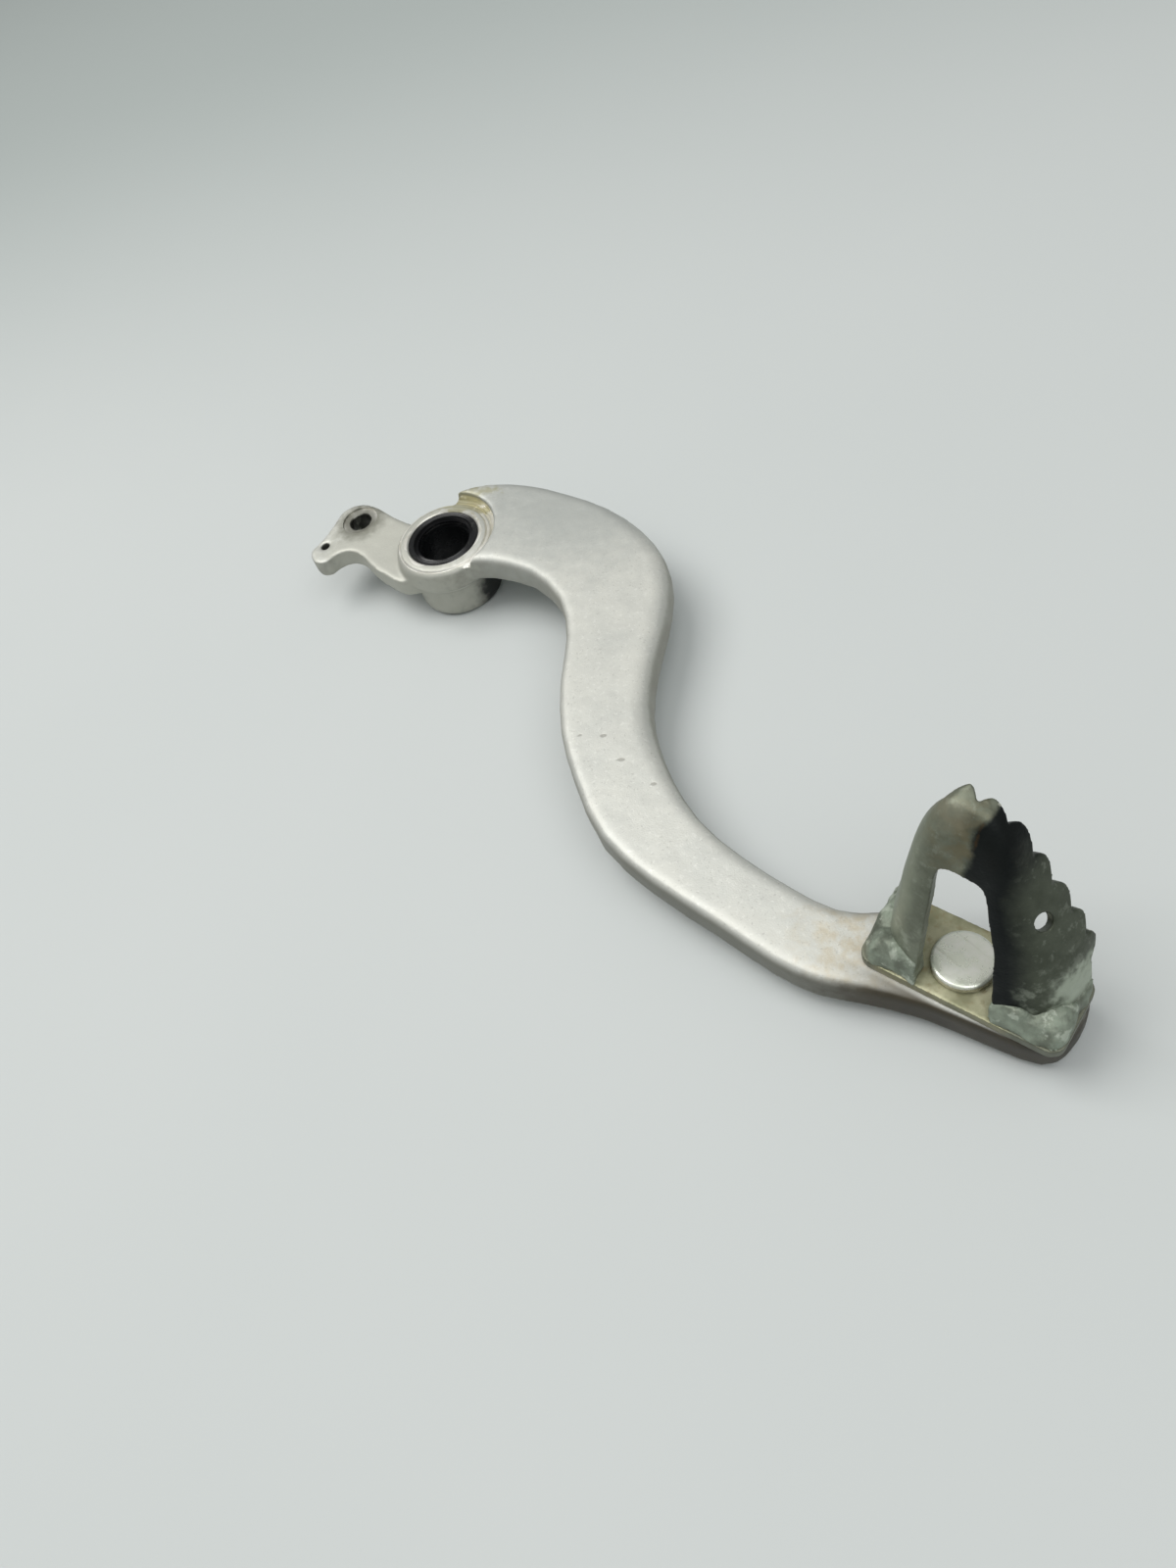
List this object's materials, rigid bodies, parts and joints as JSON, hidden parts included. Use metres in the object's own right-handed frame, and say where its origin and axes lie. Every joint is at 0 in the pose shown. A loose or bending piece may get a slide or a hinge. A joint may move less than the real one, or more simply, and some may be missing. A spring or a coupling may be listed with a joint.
{
  "type": "rear brake pedal",
  "caption": "Forged aluminium rear brake pedal for an off-road motorbike, with a bushed and sealed pivot, a rear tail for rod and spring, and a riveted toothed steel step.",
  "frame": {"origin": "on the pivot axis, half way along the boss", "axes": "+Z along the pivot axis, out of the face that the step stands on; the tail points to -X and the toe to +X and -Y"},
  "size_m": [0.1842, 0.1943, 0.0701],
  "materials": {
    "arm_aluminium": "satin, tumbled",
    "bush_bronze": "bored, oily",
    "seal_rubber": "glossy black",
    "plate_steel": "yellow zinc, aged",
    "claw_steel": "aged zinc with stains",
    "weld_steel": "rough weld, corroded zinc",
    "rivet_steel": "smooth zinc"
  },
  "bodies": {
    "root": {"pedal_arm": "arm_aluminium", "pivot_bush": "bush_bronze", "outer_dust_seal": "seal_rubber", "inner_dust_seal": "seal_rubber", "step_plate": "plate_steel", "step_claw": "claw_steel", "rear_weld_bead": "weld_steel", "front_weld_bead": "weld_steel", "step_rivet": "rivet_steel"}
  },
  "joints": []
}
